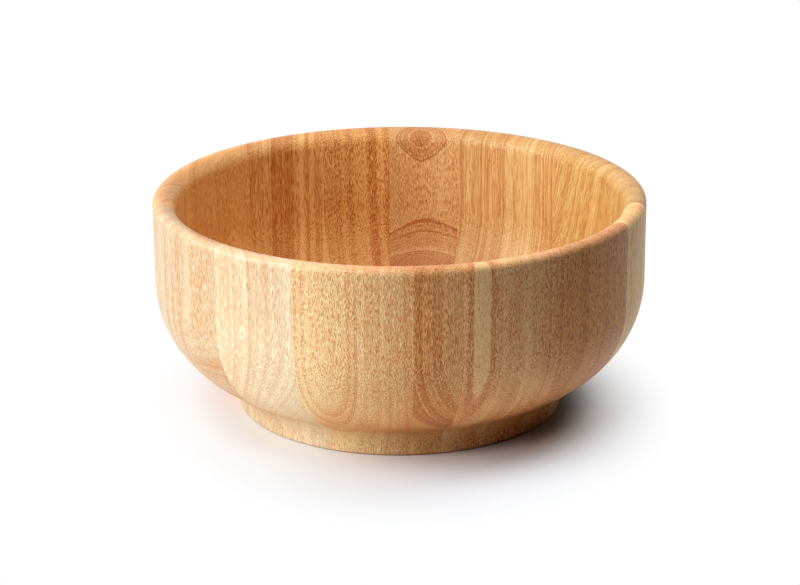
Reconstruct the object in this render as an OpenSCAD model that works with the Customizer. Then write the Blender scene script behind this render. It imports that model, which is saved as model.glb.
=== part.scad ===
// Wooden salad bowl, turned from a ring of upright glued staves around a let-in base.
// Millimetres. +Z is up, the table is at z = 0 and the bowl's axis is the Z axis.

/* [Bowl] */
// Outside diameter of the wall
bowl_d = 250; // [210:1:300]
// Height from the table to the rim
bowl_h = 110.5; // [90:0.5:140]
// Thickness of the straight wall
wall_t = 11.5; // [9:0.5:15]
// Height of the straight part of the wall, measured down from the rim
wall_h = 43; // [30:0.5:52]
// Straight run of the cone between the neck and the curve of the belly
cone_run = 16.5; // [6:0.5:24]

/* [Rim] */
// Rounding of the rim's outer edge
rim_out_r = 3.5; // [2:0.5:5]
// Width of the crest between the rim's outer and inner roundings
rim_crest_w = 0.5; // [0.2:0.1:2]

/* [Foot] */
// Diameter of the foot
foot_d = 167; // [136:1:200]
// Height of the foot, from the table to the neck
foot_h = 11.5; // [9:0.5:16]
// Width of the ring that the bowl stands on
foot_ring_w = 14; // [10:0.5:18]
// Rounding of the foot's lower outer edge
foot_edge_r = 1.2; // [0.6:0.1:2.5]
// Rounding in the corner between the foot and the cone
neck_r = 15; // [4:0.5:16]

/* [Base] */
// Depth of the hollow under the base
recess_h = 6; // [4:0.5:8]
// Thickness of the base
base_t = 14; // [11:0.5:17]
// Thickness of the base's rebated edge
rebate_t = 7; // [5:0.5:9]
// Width of the shoulder that the rebated edge seats against
rebate_w = 8; // [5:0.5:11]
// Glue line left all round between the base and the staves
glue_gap = 0.1; // [0.05:0.05:0.3]
// Widths of the base's boards, in order; together they share out the base's width
board_w = [27, 25, 31, 29, 26]; // [15:1:40]
// Direction that the base's boards run in, counted from the Y axis
board_turn = -18; // [-90:1:90]

/* [Staves] */
// Widths of the staves round the outside of the wall, in order; together they share out the full turn
stave_w = [50, 48, 28.5, 46, 58.5, 23.5, 56, 51.5, 35.5, 59, 58.5, 66, 43, 40.5, 52, 69]; // [20:0.5:80]
// Direction of the first stave's first joint, counted from the X axis
first_joint = 167; // [0:1:359]

/* [Hidden] */
$fn = 96;

// Depth by which a rounding runs into the faces that it joins, so that they always meet
blend_depth = 0.002;

function to_hundredth(size) = round(size * 100) / 100;

// Outside: an arc that is tangent to the wall, and to a cone that rises from the neck
bowl_r = bowl_d / 2;
foot_r = foot_d / 2;
wall_z = bowl_h - wall_h;
overhang = bowl_r - foot_r;
belly_rise = wall_z - foot_h;
belly_r = to_hundredth((overhang ^ 2 + belly_rise ^ 2 - cone_run ^ 2) / (2 * overhang));
belly_centre = [bowl_r - belly_r, wall_z];
neck = [foot_r, foot_h];
neck_from_belly = neck - belly_centre;
cone_end_r = belly_r - blend_depth;
cone_end_turn = atan2(neck_from_belly.y, neck_from_belly.x) + acos(cone_end_r / norm(neck_from_belly));
cone_end = belly_centre + cone_end_r * [cos(cone_end_turn), sin(cone_end_turn)];
cone_slope = 90 + cone_end_turn;

// The rounding in the neck touches the foot's side and the cone, this far from their corner; where
// either is too short for it, the rounding is made smaller
neck_spread = tan((90 - cone_slope) / 2);
neck_reach = min(neck_r * neck_spread, 0.95 * cone_run, foot_h - 2 * foot_edge_r);
neck_fit_r = neck_reach / neck_spread;
neck_centre = [foot_r + neck_fit_r, foot_h - neck_reach];
cone_start = neck + neck_reach * [cos(cone_slope), sin(cone_slope)];

// Inside: a straight wall, a corner that is tangent to wall and floor, and a level floor
floor_z = recess_h + base_t;
inside_r = bowl_r - wall_t;
corner_r = wall_z - floor_z;
corner_centre = [inside_r - corner_r, wall_z];
rim_in_r = wall_t - rim_out_r - rim_crest_w;

// Base: a disc with a rebated edge, let up into the staves from below
recess_r = foot_r - foot_ring_w;
plug_r = recess_r - rebate_w;
shoulder_z = recess_h + rebate_t;

// Length that makes a cut or a slab pass well clear of the bowl
clear_of_bowl = bowl_d;

function total(list, end) = end == 0 ? 0 : list[end - 1] + total(list, end - 1);
function share(list, index) = total(list, index) / total(list, len(list));

stave_count = len(stave_w);
board_count = len(board_w);
stave_names = [for (i = [1 : stave_count]) str("stave_", i < 10 ? "0" : "", i)];
board_names = [for (i = [1 : board_count]) str("base_board_", i)];

// Tones of the timber: sapwood is pale, heartwood is browner
cream = "#efd9ae";
peach = "#e9c596";
straw = "#e3b878";
tan_wood = "#d0a068";
honey = "#cf9350";
russet = "#b47a45";
stave_tones = [
    honey, peach, peach, cream, tan_wood, russet, tan_wood, russet,
    straw, straw, straw, straw, tan_wood, honey, russet, honey
];
board_tones = [straw, tan_wood, peach, honey, straw];

// Everything inside the turned outside of the bowl, filled to the axis
module outside() {
    difference() {
        union() {
            polygon([
                [0, 0], [foot_r, 0], [foot_r, neck_centre.y], neck_centre, cone_start, cone_end,
                belly_centre, [bowl_r, wall_z], [bowl_r, bowl_h], [0, bowl_h]
            ]);
            belly_slice();
        }
        translate(neck_centre) circle(neck_fit_r + blend_depth);
        edge_cut([bowl_r, bowl_h], [-1, -1], rim_out_r);
        edge_cut([foot_r, 0], [-1, 1], foot_edge_r);
    }
}

// Slice of the belly's disc, from the wall to half way down the cone, where it lies inside the wood
module belly_slice() {
    lap_turn = cone_end_turn - atan2(cone_run / 2, belly_r);
    reach = 2 * belly_r;
    intersection() {
        translate(belly_centre) circle(belly_r);
        translate(belly_centre) polygon([[0, 0], reach * [cos(lap_turn), sin(lap_turn)], [reach, 0]]);
    }
}

// What is taken off a square corner to round it; inward points from the corner into the wood
module edge_cut(corner, inward, r) {
    difference() {
        translate(corner + inward * r / 2) square(r, center = true);
        translate(corner + inward * r) circle(r);
    }
}

// Hollow of the bowl, filled to the axis
module hollow() {
    translate([0, wall_z]) square([inside_r, bowl_h - wall_z]);
    translate([0, floor_z]) square([corner_centre.x, corner_r]);
    intersection() {
        translate(corner_centre) circle(corner_r);
        translate([corner_centre.x, floor_z]) square(corner_r);
    }
    edge_cut([inside_r, bowl_h], [1, -1], rim_in_r);
}

// Half section of the whole bowl as it comes off the lathe
module bowl_section() {
    difference() {
        outside();
        hollow();
        square([recess_r, recess_h]);
    }
}

// Half section of the space that the base fills, with a gap taken off its round edges
module base_space(gap) {
    square([recess_r - gap, shoulder_z]);
    square([plug_r - gap, floor_z + corner_r]);
}

// One upright stave, from the joint on its first side to the joint on its second
module stave(index) {
    turn = 360 * share(stave_w, index);
    width = 360 * share(stave_w, index + 1) - turn;
    color(stave_tones[index])
        rotate_extrude(angle = width, start = first_joint + turn)
            difference() {
                bowl_section();
                base_space(0);
            }
}

// One board of the base, cut to the base's round and rebated edge
module base_board(index) {
    base_d = 2 * recess_r;
    left = base_d * share(board_w, index) - recess_r;
    right = base_d * share(board_w, index + 1) - recess_r;
    color(board_tones[index])
        intersection() {
            rotate_extrude()
                intersection() {
                    bowl_section();
                    base_space(glue_gap);
                }
            rotate(board_turn)
                translate([left, -clear_of_bowl / 2, 0])
                    cube([right - left, clear_of_bowl, bowl_h]);
        }
}

for (i = [0 : stave_count - 1]) stave(i);
for (i = [0 : board_count - 1]) base_board(i);
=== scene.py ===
# %% [markdown]
# # A turned salad bowl of glued staves
# The bowl is a ring of sixteen upright rubberwood staves, glued edge to edge, turned on a lathe
# inside and out, and closed below by a base of five glued boards. Its shape is already exact in the
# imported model, so nothing is modelled again here. This lesson gives every stave its own piece of
# wood, stands the bowl on a pale floor and lights it like a studio photograph.

import math

import bpy
import numpy as np
from mathutils import Matrix, Quaternion, Vector


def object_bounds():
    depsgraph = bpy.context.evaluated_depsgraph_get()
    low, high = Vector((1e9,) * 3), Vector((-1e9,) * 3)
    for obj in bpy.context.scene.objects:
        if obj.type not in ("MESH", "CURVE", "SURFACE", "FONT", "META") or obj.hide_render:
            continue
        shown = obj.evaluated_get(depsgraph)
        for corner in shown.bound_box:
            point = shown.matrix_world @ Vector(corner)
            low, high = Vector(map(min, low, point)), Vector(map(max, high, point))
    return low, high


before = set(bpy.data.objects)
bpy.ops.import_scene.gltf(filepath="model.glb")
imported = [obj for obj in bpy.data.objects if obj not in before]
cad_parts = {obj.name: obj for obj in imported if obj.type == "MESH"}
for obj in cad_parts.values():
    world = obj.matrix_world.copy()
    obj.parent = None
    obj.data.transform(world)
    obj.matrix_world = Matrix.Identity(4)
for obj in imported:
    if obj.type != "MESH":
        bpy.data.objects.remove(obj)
cad_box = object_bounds()
scene = bpy.context.scene
MM = 0.001

staves = sorted(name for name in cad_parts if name.startswith("stave"))
boards = sorted(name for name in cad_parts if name.startswith("base_board"))
print(f"{len(staves)} staves and {len(boards)} boards, {cad_box[1].z / MM:.1f} mm high")

# %% [markdown]
# ## The camera
# The view was found by matching the rim, the foot and the outline of the bowl to the photograph. A
# long lens 1.3 m away keeps the rim's ellipse flat. The camera is turned a third of a degree about
# its own line of sight, because the rim in the photograph is not quite level.

# %% Set up the camera
VIEW_DISTANCE = 1.3
VIEW_ELEVATION = math.radians(19.22)
VIEW_ROLL = math.radians(0.33)
AIM = Vector((0, 0, 0.0559))
FOCAL_LENGTH_PX = 2525
PHOTO_WIDTH_PX = 800
SENSOR_WIDTH_MM = 36

camera = bpy.data.objects.new("camera", bpy.data.cameras.new("camera"))
scene.collection.objects.link(camera)
camera.data.sensor_width = SENSOR_WIDTH_MM
camera.data.lens = FOCAL_LENGTH_PX / PHOTO_WIDTH_PX * SENSOR_WIDTH_MM
toward_camera = Vector((0, -math.cos(VIEW_ELEVATION), math.sin(VIEW_ELEVATION)))
camera.location = AIM + VIEW_DISTANCE * toward_camera
camera.rotation_mode = "QUATERNION"
straight_view = (-toward_camera).to_track_quat("-Z", "Y")
camera.rotation_quaternion = straight_view @ Quaternion((0, 0, 1), -VIEW_ROLL)
scene.camera = camera
print(f"lens {camera.data.lens:.1f} mm at {VIEW_DISTANCE} m")

# %% [markdown]
# ## One helper for every node
# A material is a graph of nodes. One small function adds a node of any kind, sets its options and
# fills its inputs: an input given another node's output is linked, and any other value is typed in.

# %% Add a node, set it and link it
def add(tree, kind, inputs, **options):
    node = tree.nodes.new("ShaderNode" + kind)
    for option, value in options.items():
        setattr(node, option, value)
    for socket, value in inputs.items():
        if isinstance(value, bpy.types.NodeSocket):
            tree.links.new(value, node.inputs[socket])
        else:
            node.inputs[socket].default_value = value
    return node


def linear(hex_colour):
    """Turns an sRGB hex colour into the linear values that Blender works with."""
    channels = [int(hex_colour[i : i + 2], 16) / 255 for i in (1, 3, 5)]
    return [c / 12.92 if c <= 0.04045 else ((c + 0.055) / 1.055) ** 2.4 for c in channels]


# %% [markdown]
# ## Where each stave lay in its log
# Grain looks right on every face only if it is solid. So each stave keeps the place that it had in
# its log: the texture's Z axis is the pith, the centre line of the tree, and growth rings are
# cylinders round it. A stave's joints are the two planes through the bowl's axis at its ends, and
# its middle direction is measured from its own mesh.

# %% Measure the staves
def points_of(name):
    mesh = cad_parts[name].data
    flat = np.empty(len(mesh.vertices) * 3, np.float32)
    mesh.vertices.foreach_get("co", flat)
    return flat.reshape(-1, 3)


def stave_turns(name):
    """Directions of a stave's first and last joint, counted round the bowl's axis."""
    x, y, _ = points_of(name).T
    middle = math.atan2(y.mean(), x.mean())
    from_middle = np.angle(np.exp(1j * (np.arctan2(y, x) - middle)))
    return middle + from_middle.min(), middle + from_middle.max()


for name in staves:
    first, last = stave_turns(name)
    print(f"{name}: {math.degrees(last - first):.1f} degrees wide")

# %% [markdown]
# ## Rubberwood, turned and lacquered
# Rubberwood is a pale, straw-coloured hardwood. The lathe leaves it smooth, and a clear satin
# lacquer warms it. The eye sees soft growth rings, a dense grain of short fibres, open pores that
# are dashes on a long face and dots on an end, and a thin glue line at each joint.
# Here they all add up to one number, the depth of tone, which one colour ramp turns into colour:
# 0 is sapwood, 0.3 the stave's own tone, 0.65 the dark end of a ring and 1 the inside of a pore.

# %% Tones of the wood
BODY = 0.3
# Lightness at each depth, as a share of the stave's own: sapwood, body, end of a ring, pore
LIGHTNESS = {0.0: 1.60, BODY: 1.0, 0.65: 0.60, 1.0: 0.28}


def tone_ramp(tree, depth, body, hue):
    """Deeper tones lose more blue and less red than green; hue is by how much, as two exponents."""
    red, blue = hue
    ramp = add(tree, "ValToRGB", {"Fac": depth})
    stops = ramp.color_ramp.elements
    for position in list(LIGHTNESS)[1:-1]:
        stops.new(position)
    for stop, (position, light) in zip(stops, LIGHTNESS.items()):
        tint = (light ** red, light, light ** blue)
        stop.position = position
        stop.color = [min(1, part * share) for part, share in zip(linear(body), tint)] + [1]
    return ramp.outputs["Color"]


# %% [markdown]
# ## Into the log
# The Mapping node in its Texture mode undoes a place and a turn, so it takes a point of the bowl
# back to where it was in the log, in millimetres from the pith. Real grain is never quite straight:
# a slow noise sways it by a few millimetres.

# %% Log coordinates
# Sizes of a pattern are pairs: across and along the grain, in millimetres
SWAY_SIZE = (28, 90)
# Each piece of wood takes its noise from its own stretch of an endless log
LOG_STEP = 311.7


def stretched(tree, log, size):
    """Log coordinates counted in pattern cells of that size."""
    across, along = size
    cells = (1 / across, 1 / across, 1 / along)
    return add(tree, "VectorMath", {0: log, 1: cells}, operation="MULTIPLY").outputs[0]


def in_log(tree, place, turn, sway, seed):
    """Two sets of log coordinates in millimetres: round the pith, and with an offset for noise."""
    where = add(tree, "TexCoord", {}).outputs["Object"]
    log = add(
        tree, "Mapping",
        {"Vector": where, "Location": place, "Rotation": turn, "Scale": (MM, MM, MM)},
        vector_type="TEXTURE",
    ).outputs[0]
    offset = (0, 0, LOG_STEP * seed)
    own = add(tree, "VectorMath", {0: log, 1: offset}, operation="ADD").outputs[0]
    slow = stretched(tree, own, SWAY_SIZE)
    noise = add(tree, "TexNoise", {"Vector": slow, "Scale": 1, "Detail": 2}).outputs["Color"]
    shift = add(
        tree, "VectorMath", {0: noise, 1: (sway, sway, 0), 2: (-sway / 2, -sway / 2, 0)},
        operation="MULTIPLY_ADD",
    ).outputs[0]
    log = add(tree, "VectorMath", {0: log, 1: shift}, operation="ADD").outputs[0]
    own = add(tree, "VectorMath", {0: own, 1: shift}, operation="ADD").outputs[0]
    return log, own


# %% [markdown]
# ## Growth rings
# What changes only with the distance from the pith looks like rings: a noise along that distance
# gives soft streaks as wide as a ring, and a finer one gives lines. Single dark or pale bands that
# a stave is known by are steps of a ramp over the same distance. Rings drawn out into long ovals
# make the tongue on one front stave and the tapering stripe on another. Where a stave passes close
# to a hidden knot the rings bulge towards it, and a turned surface cuts that bulge into the eye at
# the rim.

# %% Distance from the pith
# An exponent under 2 draws an oval's corners in, so that the eye ends in a blunt point
EYE_POINT = 1.4


def pith_distance(tree, log, oval, eye):
    flat = add(tree, "VectorMath", {0: log, 1: (oval, 1, 0)}, operation="MULTIPLY").outputs[0]
    distance = add(tree, "VectorMath", {0: flat}, operation="LENGTH").outputs["Value"]
    if eye is None:
        return distance
    across, height, half_width, half_height, bulge = eye
    share = (0, 1 / half_width, 1 / half_height)
    centre = (0, -across / half_width, -height / half_height)
    point = (EYE_POINT, EYE_POINT, EYE_POINT)
    inputs = {0: log, 1: share, 2: centre}
    off = add(tree, "VectorMath", inputs, operation="MULTIPLY_ADD").outputs[0]
    off = add(tree, "VectorMath", {0: off}, operation="ABSOLUTE").outputs[0]
    off = add(tree, "VectorMath", {0: off, 1: point}, operation="POWER").outputs[0]
    far = add(tree, "VectorMath", {0: off, 1: (1, 1, 1)}, operation="DOT_PRODUCT").outputs["Value"]
    far = add(tree, "Math", {0: far, 1: 1 / EYE_POINT}, operation="POWER").outputs[0]
    swell = add(
        tree, "MapRange", {"Value": far, "To Min": bulge, "To Max": 0},
        interpolation_type="SMOOTHSTEP",
    ).outputs[0]
    return add(tree, "Math", {0: distance, 1: swell}, operation="SUBTRACT").outputs[0]


# %% Rings and single bands
# Each piece of wood takes its rings from its own stretch of one endless noise
RING_STEP = 7.3


def ring_noise(tree, distance, width, seed):
    along = add(
        tree, "Math", {0: distance, 1: 1 / width, 2: RING_STEP * seed}, operation="MULTIPLY_ADD"
    ).outputs[0]
    return add(
        tree, "TexNoise", {"W": along, "Scale": 1, "Detail": 2}, noise_dimensions="1D"
    ).outputs[0]


def band_depth(tree, distance, bands):
    """Depth of tone from bands of (inner edge, outer edge, edge softness, depth), from the pith."""
    start = bands[0][0] - bands[0][2]
    end = bands[-1][1] + bands[-1][2]
    inside = add(tree, "MapRange", {"Value": distance, "From Min": start, "From Max": end})
    ramp = add(tree, "ValToRGB", {"Fac": inside.outputs[0]})
    stops = ramp.color_ramp.elements
    # A ramp holds 0 to 1, so middle grey stands for no change
    stops[0].color = stops[-1].color = (0.5, 0.5, 0.5, 1)
    for inner, outer, soft, depth in bands:
        for radius, value in ((inner - soft, 0), (inner, depth), (outer, depth), (outer + soft, 0)):
            grey = 0.5 + value / 2
            stops.new((radius - start) / (end - start)).color = (grey, grey, grey, 1)
    shade = ramp.outputs["Color"]
    return add(tree, "Math", {0: shade, 1: 2, 2: -1}, operation="MULTIPLY_ADD").outputs[0]


# %% [markdown]
# ## Fibres and pores
# Fibres are a noise stretched along the log: long ones that fray the ring lines, and short dashes
# that make the whole surface lively. Pores are the cells of a Voronoi pattern, stretched the same
# way: a cell's middle is the pore. Real fibres are about 0.02 mm wide and real pores 0.1 to 0.2 mm,
# too fine for the picture, so both are drawn 0.3 to 0.6 mm wide.

# %% Fibres, clouds and pores
FIBRE = (0.45, 50)
DASH_WIDTH = 0.30
CLOUD = (16, 70)
PORE_SPACING = (0.9, 4.0)
# Where a pore's dark core ends and where its soft edge ends, in cells from the cell's middle
PORE_CORE, PORE_EDGE = 0.18, 0.34
# Pores come in patches; a higher contrast leaves more wood between them bare
PORE_PATCH = (9, 40)
PATCH_CONTRAST = 1.6


def soft_noise(tree, log, size, detail):
    cells = stretched(tree, log, size)
    return add(tree, "TexNoise", {"Vector": cells, "Scale": 1, "Detail": detail}).outputs[0]


def pore_pattern(tree, log, share):
    """1 in a pore and 0 outside; share is how many of the cells hold a pore."""
    cells = add(tree, "TexVoronoi", {"Vector": stretched(tree, log, PORE_SPACING), "Scale": 1})
    core = add(
        tree, "MapRange",
        {
            "Value": cells.outputs["Distance"], "From Min": PORE_CORE, "From Max": PORE_EDGE,
            "To Min": 1, "To Max": 0,
        },
        interpolation_type="SMOOTHSTEP",
    ).outputs[0]
    lot = add(tree, "SeparateColor", {"Color": cells.outputs["Color"]}).outputs[0]
    patch = soft_noise(tree, log, PORE_PATCH, detail=1)
    limit = add(
        tree, "Math", {0: patch, 1: PATCH_CONTRAST, 2: share - PATCH_CONTRAST / 2},
        operation="MULTIPLY_ADD",
    ).outputs[0]
    chosen = add(tree, "Math", {0: lot, 1: limit}, operation="LESS_THAN").outputs[0]
    return add(tree, "Math", {0: core, 1: chosen}, operation="MULTIPLY").outputs[0]


# %% [markdown]
# ## Glue lines, end grain and painted shade
# A glue line is where a point lies within a quarter of a millimetre of a joint's plane. End grain
# drinks more lacquer, so it is deeper in tone. It shows wherever the surface faces along the log: a
# little on the rim's crest, and more on the cone above the foot. There the same deeper tone is also
# painted shade: it tones down the light on the crest, and paints the shade of the neck on the cone.

# %% Glue lines, end grain and painted shade
GLUE_HALF_WIDTH = 0.25
# Share of a surface's direction that has to point along the log before end grain and its painted
# shade show
END_FACING = 0.5


def glue_pattern(tree, planes):
    """1 on a joint and 0 away from it; a plane is its square direction and its place along it."""
    where = add(tree, "TexCoord", {}).outputs["Object"]
    # The search starts from the bowl's radius, far beyond the reach of a glue line
    nearest = cad_box[1].x
    for square, offset in planes:
        along = add(tree, "VectorMath", {0: where, 1: square}, operation="DOT_PRODUCT")
        away = {0: along.outputs["Value"], 1: offset}
        gap = add(tree, "Math", away, operation="SUBTRACT").outputs[0]
        gap = add(tree, "Math", {0: gap}, operation="ABSOLUTE").outputs[0]
        nearest = add(tree, "Math", {0: gap, 1: nearest}, operation="MINIMUM").outputs[0]
    return add(
        tree, "MapRange",
        {"Value": nearest, "From Max": GLUE_HALF_WIDTH * MM, "To Min": 1, "To Max": 0},
    ).outputs[0]


# End grain facing one way along the log; on the rim's crest and the cone it also serves as painted
# shade
def end_grain_and_shade(tree, along):
    facing = add(tree, "NewGeometry", {}).outputs["Normal"]
    share = add(tree, "VectorMath", {0: facing, 1: along}, operation="DOT_PRODUCT").outputs["Value"]
    return add(
        tree, "MapRange", {"Value": share, "From Min": END_FACING, "From Max": 1},
        interpolation_type="SMOOTHSTEP",
    ).outputs[0]


# %% [markdown]
# ## The whole finish
# Depths are added with their weights, and the ramp colours the sum. The pores also make the lacquer
# duller, and the pores and dashes press it down by a few hundredths of a millimetre.

# %% Turned rubberwood
# Noise swings about this value
NOISE_MIDDLE = 0.5
FINE_LINE = 1.3
FINE_SEED = 50
SLOPE_RUN = 10
PORE_DEPTH = 0.34
GLUE_DEPTH = 0.15
# Deeper tone on the rim's crest: end grain, and painted shade that tones down the light on it
RIM_DEPTH = 0.12
# Satin lacquer: its roughness, what a pore adds to that, and how strongly it mirrors
ROUGHNESS = 0.42
PORE_DULL = 0.18
LACQUER_IOR = 1.5
LACQUER_SHEEN = 0.25
# How deep the pores and dashes are pressed, in millimetres, and how much of that shows
PRESSED = 0.04
PRESSED_SHARE = 0.5


def wood_depth(tree, look, log, own, along, planes, seed):
    """Depth of tone of the whole wood, and the two patterns that also shape its surface."""
    fibre = soft_noise(tree, own, FIBRE, detail=2)
    dashes = soft_noise(tree, own, (DASH_WIDTH, look["dash"]), detail=1)
    cloud = soft_noise(tree, own, CLOUD, detail=2)
    pores = pore_pattern(tree, own, look["pores"])
    fray = look["fray"]
    distance = pith_distance(tree, log, look["oval"], look.get("eye"))
    frayed = {0: fibre, 1: fray, 2: distance}
    distance = add(tree, "Math", frayed, operation="MULTIPLY_ADD").outputs[0]
    evened = {0: distance, 1: fray * NOISE_MIDDLE}
    distance = add(tree, "Math", evened, operation="SUBTRACT").outputs[0]
    across = add(tree, "SeparateXYZ", {"Vector": log}).outputs["Y"]
    other_way = [-part for part in along]
    # Pattern, weight and the value at which it leaves the stave's own tone
    terms = [
        (ring_noise(tree, distance, look["ring"], seed), look["streaks"], NOISE_MIDDLE),
        (ring_noise(tree, distance, FINE_LINE, seed + FINE_SEED), look["fine"], NOISE_MIDDLE),
        (fibre, look["fibre"], NOISE_MIDDLE),
        (dashes, look["grain"], NOISE_MIDDLE),
        (cloud, look["cloud"], NOISE_MIDDLE),
        (across, look["slope"] / SLOPE_RUN, -look["pith"][1]),
        (pores, PORE_DEPTH, 0),
        (glue_pattern(tree, planes), GLUE_DEPTH, 0),
        # End grain on the rim's crest and on the cone above the foot, both also painted shade
        (end_grain_and_shade(tree, along), RIM_DEPTH, 0),
        (end_grain_and_shade(tree, other_way), look["cone"], 0),
    ]
    if "bands" in look:
        terms.append((band_depth(tree, distance, look["bands"]), 1, 0))
    depth = BODY - sum(weight * neutral for _, weight, neutral in terms)
    for pattern, weight, _ in terms:
        inputs = {0: pattern, 1: weight, 2: depth}
        depth = add(tree, "Math", inputs, operation="MULTIPLY_ADD").outputs[0]
    return depth, pores, dashes


def turned_rubberwood(name, look, place, turn, along, planes, seed):
    material = bpy.data.materials.new("turned_rubberwood_" + name)
    material.use_nodes = True
    tree = material.node_tree
    shader = tree.nodes["Principled BSDF"]
    log, own = in_log(tree, place, turn, look["sway"], seed)
    depth, pores, dashes = wood_depth(tree, look, log, own, along, planes, seed)
    colour = tone_ramp(tree, depth, look["body"], look["hue"])
    tree.links.new(colour, shader.inputs["Base Color"])
    dull = add(tree, "Math", {0: pores, 1: PORE_DULL, 2: ROUGHNESS}, operation="MULTIPLY_ADD")
    tree.links.new(dull.outputs[0], shader.inputs["Roughness"])
    height = add(tree, "Math", {0: dashes, 1: pores}, operation="SUBTRACT").outputs[0]
    pressed = {"Height": height, "Strength": PRESSED_SHARE, "Distance": PRESSED * MM}
    bump = add(tree, "Bump", pressed)
    tree.links.new(bump.outputs[0], shader.inputs["Normal"])
    shader.inputs["IOR"].default_value = LACQUER_IOR
    shader.inputs["Specular IOR Level"].default_value = LACQUER_SHEEN
    return material


# %% [markdown]
# ## Sixteen staves
# No two staves are alike, so each entry below says what one stave is and how it differs from the
# common look. Lengths are in millimetres, and most other numbers are depths of tone.
# - body is the stave's own tone, and hue says how its deeper tones change colour.
# - pith is where its pith lay: out from the bowl's axis, and sideways from the stave's middle. lean
#   is its slant sideways, and an oval under 1 draws its rings out. sway is how far the grain sways.
# - ring is a ring's width, streaks the soft tones that are as wide, fine the thin lines, and bands
#   single rings as (inner edge, outer edge, edge softness, depth). fray is how far fibres fray
#   them all.
# - fibre is the long fibres, grain the short ones, dash the length of those, and cloud the slow
#   changes. slope is the change over 10 mm across.
# - pores is the share of cells that hold a pore, and the cone entry is the end grain above the
#   foot, deepened as painted shade of the neck.
# - eye is a hidden knot: its place across and along, its half width and half height, and its bulge.

# %% What the staves have in common
# The cone entry darkens the cone above the foot: end grain, and painted shade of the neck
COMMON = {
    "hue": (0.42, 1.45), "lean": 0, "oval": 1, "sway": 3.0, "ring": 6, "streaks": 0.8, "fine": 0.5,
    "fray": 0.3, "fibre": 0.6, "grain": 2.6, "dash": 2.2, "cloud": 0.35, "slope": 0, "pores": 0.5,
    "cone": 0.28,
}

# %% [markdown]
# ### Left side of the bowl
# Three pale staves of sapwood, and a warmer one at the far left. Their rings are faint, and a few
# thin lines run down the fourth.

# %% Looks of the left staves
LOOKS = {
    "stave_01": {"body": "#e2a86a", "pith": (60, 30), "streaks": 0.4, "grain": 1.4, "pores": 0.2},
    "stave_02": {
        "body": "#cfb087", "hue": (0.22, 1.8), "pith": (100, 75), "streaks": 0.5, "fibre": 0.4,
        "grain": 1.5, "dash": 4, "pores": 0.2, "cone": 0.12,
    },
    "stave_03": {
        "body": "#cea474", "hue": (0.22, 1.8), "pith": (55, 5), "streaks": 0.6, "fibre": 0.4,
        "grain": 1.9, "dash": 3, "pores": 0.4, "cone": 0.12, "bands": [(20.0, 40.0, 6.0, -0.14)],
    },
    "stave_04": {
        "body": "#e4c8a1", "hue": (0.45, 1.4), "pith": (60, 45), "sway": 2.0, "ring": 3.5,
        "streaks": 0.16, "fine": 0.2, "fibre": 0.3, "grain": 1.1, "dash": 4, "slope": -0.01,
        "pores": 0.2, "cone": 0.14,
        "bands": [
            (64.2, 64.8, 0.3, 0.07), (69.5, 69.9, 0.2, 0.04), (73.6, 74.2, 0.3, 0.09),
            (79.1, 79.8, 0.3, 0.15), (82.3, 82.7, 0.3, 0.06), (84.7, 85.3, 0.3, 0.08),
        ],
    },
}

# %% [markdown]
# ### Front and right side
# Speckled staves, darker to the right. The fifth has a tongue with a dark edge, the narrow sixth
# has brown bands that arch over the belly, and the seventh a pale stripe that tapers downwards.

# %% Looks of the front staves
LOOKS |= {
    "stave_05": {
        "body": "#eab981", "hue": (0.3, 1.55), "pith": (227, -13.3), "oval": 0.214, "sway": 1.0,
        "ring": 3, "streaks": 0.4, "fine": 0.3, "grain": 2.3, "dash": 1.8, "slope": 0.07,
        "bands": [
            (23.0, 23.4, 0.3, 0.10), (24.6, 25.0, 0.3, 0.12), (25.0, 26.3, 0.4, 0.20),
            (26.4, 26.9, 0.1, 0.55), (27.2, 27.9, 0.2, -0.08), (28.4, 31.5, 0.4, 0.02),
        ],
    },
    "stave_06": {
        "body": "#e3a467", "pith": (177, 64), "sway": 1.5, "grain": 3.0, "pores": 0.55,
        "bands": [
            (81.3, 83.2, 0.5, 0.14), (83.6, 84.5, 0.2, 0.48), (86.0, 87.7, 0.4, 0.22),
            (89.0, 91.6, 0.6, 0.34), (93.0, 97.5, 0.9, 0.32), (106.0, 122.0, 4.0, -0.08),
        ],
    },
    "stave_07": {
        "body": "#f9b278", "hue": (0.55, 1.25), "pith": (224, -18.7), "oval": 0.114, "sway": 1.0,
        "grain": 3.1, "dash": 1.7, "cloud": 0.9, "slope": 0.05, "pores": 0.6,
        "bands": [
            (9.0, 12.05, 0.15, -0.27), (12.25, 13.2, 0.2, 0.20), (14.2, 17.0, 0.7, -0.12),
        ],
    },
    "stave_08": {
        "body": "#db9559", "hue": (0.55, 1.25), "pith": (110, 70), "streaks": 0.5, "fine": 0.6,
        "grain": 4.3,
    },
}

# %% [markdown]
# ### Far wall
# Most of these show on the inside only. Soft lines flow down the right of the far wall, the
# thirteenth stave has the eye and the arches below it, and brown and pale bands run down the left.

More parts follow.
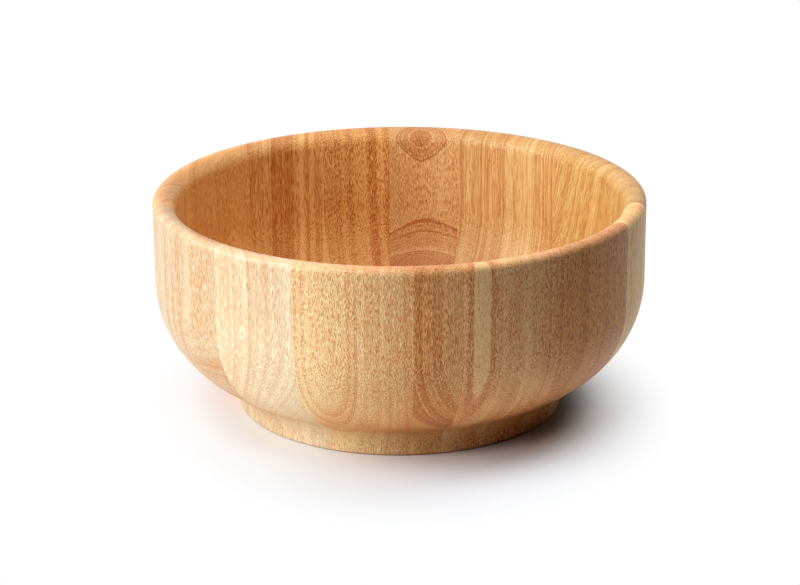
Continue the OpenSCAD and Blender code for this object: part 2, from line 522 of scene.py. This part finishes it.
# %% Looks of the far staves
LOOKS |= {
    "stave_09": {
        "body": "#ffc37d", "pith": (110, -60), "streaks": 0.9, "fine": 0.9, "grain": 1.9, "dash": 5,
        "pores": 0.2,
    },
    "stave_10": {
        "body": "#c79858", "pith": (90, -50), "lean": -0.2, "sway": 6, "streaks": 0.5, "fine": 0.4,
        "grain": 1.8, "dash": 5, "pores": 0.3,
    },
    "stave_11": {
        "body": "#ca9b5a", "pith": (90, -60), "lean": -0.25, "sway": 6, "streaks": 0.6,
        "grain": 1.5, "dash": 7, "pores": 0.3,
    },
    "stave_12": {
        "body": "#d09f61", "pith": (110, -150), "streaks": 0.7, "fine": 0.7, "grain": 1.4,
        "dash": 12, "pores": 0.25,
        "bands": [
            (121.0, 122.0, 0.4, 0.20), (136.0, 148.0, 4.0, -0.12), (162.7, 164.0, 0.4, 0.24),
            (164.9, 165.9, 0.3, -0.14), (166.6, 167.6, 0.4, 0.22),
        ],
    },
    "stave_13": {
        "body": "#d29d62", "pith": (54, -1.5), "sway": 1.0, "streaks": 0.2, "fine": 0.2,
        "fray": 0.25, "grain": 2.4, "pores": 0.3, "eye": (3.5, 50, 21.5, 20, 11),
        "bands": [
            (40.0, 52.4, 0.2, 0.34), (52.6, 52.9, 0.1, 0.48), (54.6, 57.0, 0.8, 0.20),
            (57.2, 57.5, 0.1, 0.46), (57.7, 58.4, 0.1, 0.26), (58.5, 58.9, 0.1, 0.52),
        ],
    },
    "stave_14": {
        "body": "#dc9d57", "pith": (110, -150), "fine": 0.4, "fibre": 0.4, "grain": 3.7,
        "bands": [
            (131.8, 134.0, 0.4, 0.26), (139.0, 142.5, 1.0, 0.30), (153.5, 166.0, 1.0, 0.06),
            (167.2, 168.2, 0.3, -0.20),
        ],
    },
    "stave_15": {
        "body": "#e2a35d", "pith": (20, -150), "sway": 2.0, "ring": 4, "fine": 0.6, "fibre": 0.4,
        "grain": 2.8, "dash": 5,
        "bands": [
            (146.0, 156.2, 0.4, -0.24), (158.6, 159.8, 0.5, 0.16), (161.2, 162.6, 0.5, -0.18),
            (163.6, 165.0, 0.4, 0.18), (166.8, 169.0, 0.4, -0.28), (171.5, 183.4, 1.0, 0.26),
            (186.8, 188.2, 0.5, -0.20),
        ],
    },
    "stave_16": {
        "body": "#e8aa62", "pith": (60, -20), "streaks": 0.4, "fine": 0.3, "fibre": 0.3,
        "grain": 1.7, "dash": 3.0, "pores": 0.2,
    },
}
banded = sum("bands" in look for look in LOOKS.values())
print(f"{len(LOOKS)} looks, {banded} of them with single bands")

# %% Paint the staves
# Height above the table at which a leaning pith is where its look says
PITH_HEIGHT = 60


def stave_wood(name, seed):
    look = COMMON | LOOKS[name]
    first, last = stave_turns(name)
    middle = (first + last) / 2
    out, across = look["pith"]
    place = Matrix.Rotation(middle, 3, "Z") @ Vector((out, across, PITH_HEIGHT)) * MM
    turn = (-math.atan(look["lean"]), 0, middle)
    planes = [((-math.sin(joint), math.cos(joint), 0), 0) for joint in (first, last)]
    return turned_rubberwood(name, look, place, turn, (0, 0, 1), planes, seed)


for seed, name in enumerate(staves, 1):
    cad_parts[name].material_slots[0].material = stave_wood(name, seed)
print(f"{len(staves)} staves painted")

# %% [markdown]
# ## Five base boards
# The boards lie flat, so their log lies along them. Their direction is square to the largest
# upright face of the middle board, which is one of its glued edges.

# %% Direction of the boards
# A face whose normal rises or falls by less than this is upright
UPRIGHT = 0.1
middle_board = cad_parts[boards[len(boards) // 2]].data
upright_faces = [face for face in middle_board.polygons if abs(face.normal.z) < UPRIGHT]
glued_edge = max(upright_faces, key=lambda face: face.area)
square = glued_edge.normal.copy()
grain = Vector((-square.y, square.x, 0))
board_turn = math.atan2(square.y, square.x)
print(f"boards lie side by side {math.degrees(board_turn):.0f} degrees from the X axis")

# %% Paint the base boards
# Tone of each board, and how far its pith lay below the table, in millimetres
BOARDS = [("#dcae6e", 38), ("#d09d5e", 46), ("#dfb679", 37), ("#d5a362", 45), ("#dcb072", 36)]
BOARD_LOOK = COMMON | {"pith": (0, 0), "sway": 4.0, "grain": 1.1, "dash": 9}
FIRST_BOARD_SEED = 21


def board_wood(name, body, pith_depth, seed):
    edges = points_of(name) @ np.array(square)
    planes = [(square, edges.min()), (square, edges.max())]
    middle = (edges.min() + edges.max()) / 2
    place = square * middle + Vector((0, 0, -pith_depth * MM))
    turn = (math.pi / 2, 0, board_turn)
    return turned_rubberwood(name, BOARD_LOOK | {"body": body}, place, turn, grain, planes, seed)


for number, (name, (body, pith_depth)) in enumerate(zip(boards, BOARDS)):
    wood = board_wood(name, body, pith_depth, FIRST_BOARD_SEED + number)
    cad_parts[name].material_slots[0].material = wood
print(f"{len(boards)} boards painted")

# %% [markdown]
# ## Floor and background
# The bowl stands on a white paper sweep that keeps its soft shadow. Paper and lamps alone would
# leave the background grey, so the floor answers two kinds of rays in two ways.
# Rays that show it, straight or in a reflection, see pale paper with a painted shadow, darker where
# the bowl's shaded side meets it, that fades to plain white further out. All other rays carry the
# light that bounces from it. For them its colour is painted light and shade: dark under the bowl,
# warm beside the foot, brightest in a ring that lights the belly from below, and dim further out.
# The world behind it is white to rays that show it, and lights nothing.

# %% Colours of the floor
# Middle of the bowl's shadow, and colours by their distance from it in metres, nearest first
SHADOW_CENTRE = (0.022, -0.004, 0)
# Painted light and shade for bounced light: dark under the bowl, warm beside the foot, brightest in
# a ring, dim further out
BOUNCE = {0.088: "#6f5930", 0.116: "#e7dab8", 0.155: "#fcf9f3", 0.175: "#fcf9f3", 0.240: "#454545"}
# Painted shadow on the paper that the camera sees, darkest beside the foot on the bowl's shaded
# side
SEEN_WITH_PAINTED_SHADOW = {0.068: "#959ba4", 0.080: "#f6faff", 0.112: "#ebf2fa"}


def floor_colour(tree, colours):
    where = add(tree, "TexCoord", {}).outputs["Object"]
    reach = add(tree, "VectorMath", {0: where, 1: SHADOW_CENTRE}, operation="DISTANCE")
    ramp = add(tree, "ValToRGB", {"Fac": reach.outputs["Value"]})
    stops = ramp.color_ramp.elements
    for distance in list(colours)[1:-1]:
        stops.new(distance)
    for stop, (distance, colour) in zip(stops, colours.items()):
        stop.position = distance
        stop.color = linear(colour) + [1]
    return ramp.outputs["Color"]


# %% Which rays show the floor, and where it fades
# The fade to white runs between two ovals, which lie a little in front of the bowl and are longer
# in depth than across
FADE_START, FADE_END = 0.080, 0.145
FADE_DEPTH = 0.85
FADE_CENTRE = -0.014


def shown_ray(tree):
    """1 for a ray that shows a surface to the camera, straight or in a reflection."""
    rays = add(tree, "LightPath", {}).outputs
    seen = rays["Is Camera Ray"]
    for kind in ("Is Glossy Ray", "Is Transmission Ray"):
        seen = add(tree, "Math", {0: seen, 1: rays[kind]}, operation="MAXIMUM").outputs[0]
    return seen


def fade_to_white(tree):
    """0 by the bowl and 1 where the floor is plain white."""
    where = add(tree, "TexCoord", {}).outputs["Object"]
    oval = add(
        tree, "VectorMath",
        {0: where, 1: (1, FADE_DEPTH, 0), 2: (0, -FADE_CENTRE * FADE_DEPTH, 0)},
        operation="MULTIPLY_ADD",
    ).outputs[0]
    from_bowl = add(tree, "VectorMath", {0: oval}, operation="LENGTH").outputs["Value"]
    return add(
        tree, "MapRange", {"Value": from_bowl, "From Min": FADE_START, "From Max": FADE_END},
        interpolation_type="SMOOTHSTEP",
    ).outputs[0]


# %% Floor
FLOOR_HALF = 4
corners = [(x * FLOOR_HALF, y * FLOOR_HALF, 0) for x, y in ((-1, -1), (1, -1), (1, 1), (-1, 1))]
floor_mesh = bpy.data.meshes.new("floor")
floor_mesh.from_pydata(corners, [], [(0, 1, 2, 3)])
floor = bpy.data.objects.new("floor", floor_mesh)
scene.collection.objects.link(floor)

paper = bpy.data.materials.new("white_paper_sweep")
paper.use_nodes = True
tree = paper.node_tree
tree.nodes.remove(tree.nodes["Principled BSDF"])
# Bounced light takes the painted light and shade, and shown rays see paper with a painted shadow
bounced = add(tree, "BsdfDiffuse", {"Color": floor_colour(tree, BOUNCE)}).outputs[0]
painted_shadow_paper = add(tree, "BsdfDiffuse", {"Color": floor_colour(tree, SEEN_WITH_PAINTED_SHADOW)}).outputs[0]
white = add(tree, "Emission", {"Color": linear("#ffffff") + [1]}).outputs[0]
shown = add(tree, "MixShader", {0: fade_to_white(tree), 1: painted_shadow_paper, 2: white}).outputs[0]
surface = add(tree, "MixShader", {0: shown_ray(tree), 1: bounced, 2: shown}).outputs[0]
tree.links.new(surface, tree.nodes["Material Output"].inputs["Surface"])
floor_mesh.materials.append(paper)
print(f"floor fades to white from {FADE_START / MM:.0f} to {FADE_END / MM:.0f} mm")

# %% World
world = bpy.data.worlds.new("studio")
scene.world = world
world.use_nodes = True
background = world.node_tree.nodes["Background"]
background.inputs["Color"].default_value = linear("#ffffff") + [1]
world.node_tree.links.new(shown_ray(world.node_tree), background.inputs["Strength"])
scene.view_settings.view_transform = "Standard"

# %% [markdown]
# ## Studio light
# Six large soft lamps stand round the bowl. The strongest is low at the left with a smaller one
# above it, so the left wall and the inside of the right wall are bright and the right side falls
# into shade. One high at the front left opens the front. Two behind and one almost overhead lift
# the rim and the inside.

# %% Lamps
LAMPS = {
    # name: (direction from the front, height angle, side in metres, watts)
    "key_left": (-64, 6, 0.8, 15.0),
    "side_left": (-75, 30, 0.6, 7.0),
    "high_left": (-40, 52, 0.9, 8.5),
    "back_left": (-150, 40, 0.9, 3.8),
    "back_right": (127, 57, 0.9, 6.5),
    "top_right": (90, 80, 0.9, 2.6),
}
LAMP_DISTANCE = 1.3
for name, (from_front, height, side, watts) in LAMPS.items():
    turn, rise = math.radians(from_front), math.radians(height)
    level = math.cos(rise)
    toward = Vector((math.sin(turn) * level, -math.cos(turn) * level, math.sin(rise)))
    lamp = bpy.data.objects.new(name, bpy.data.lights.new(name, "AREA"))
    lamp.data.energy = watts
    lamp.data.size = side
    lamp.location = AIM + toward * LAMP_DISTANCE
    lamp.rotation_mode = "QUATERNION"
    lamp.rotation_quaternion = (-toward).to_track_quat("-Z", "Y")
    scene.collection.objects.link(lamp)
print(f"{len(LAMPS)} lamps, {sum(watts for *_, watts in LAMPS.values()):.0f} W in all")
